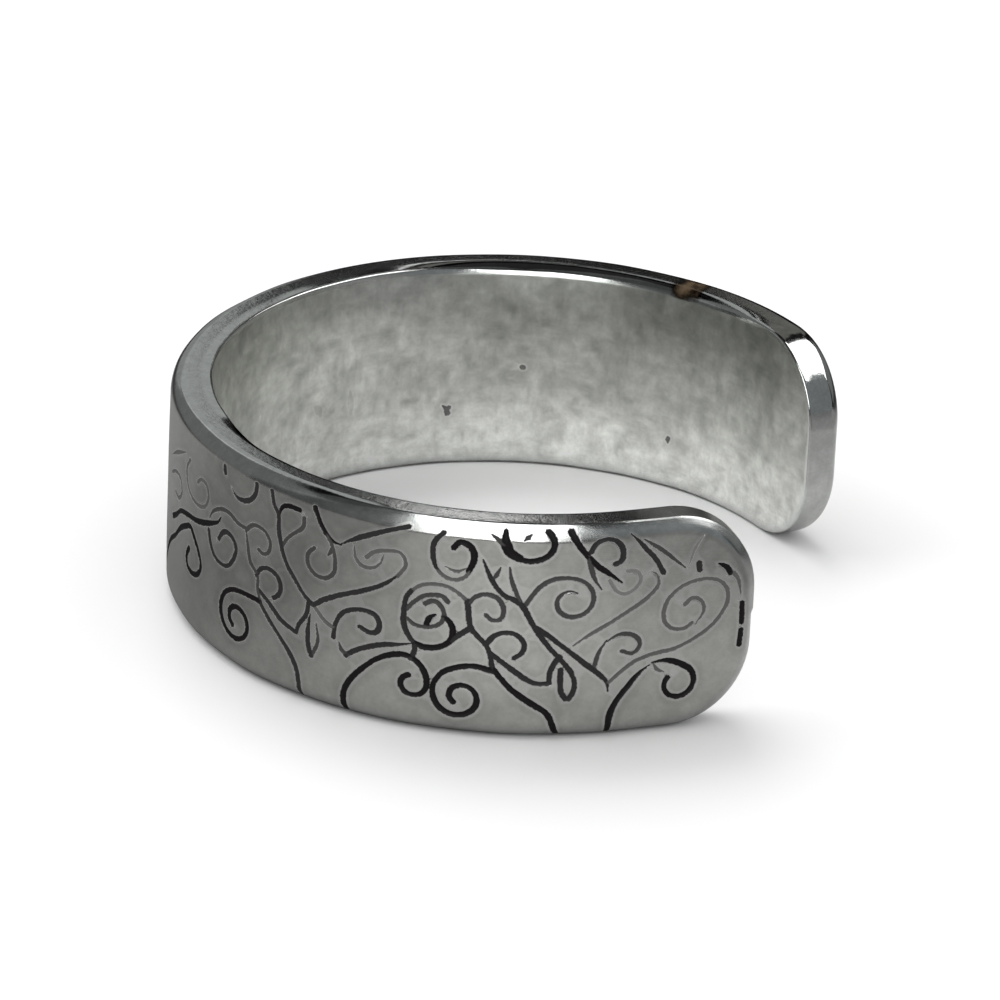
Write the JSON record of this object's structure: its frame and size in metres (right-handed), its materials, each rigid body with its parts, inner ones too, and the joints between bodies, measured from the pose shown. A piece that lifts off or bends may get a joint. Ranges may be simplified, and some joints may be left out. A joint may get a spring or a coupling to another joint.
{
  "type": "open cuff ring",
  "caption": "Open cuff ring: a flat metal strip bent round a finger, with rounded edges, a gap between two rounded tips, and an engraved scroll ornament outside.",
  "frame": {"origin": "centre of the finger hole, half way up the band", "axes": "+Z along the finger hole, +X from its centre out through the middle of the gap, +Y towards the back arm"},
  "size_m": [0.018, 0.0196, 0.0064],
  "materials": {
    "metal": "satin, with light scratches and blackened engraved lines"
  },
  "bodies": {
    "root": {"band": "metal"}
  },
  "joints": []
}
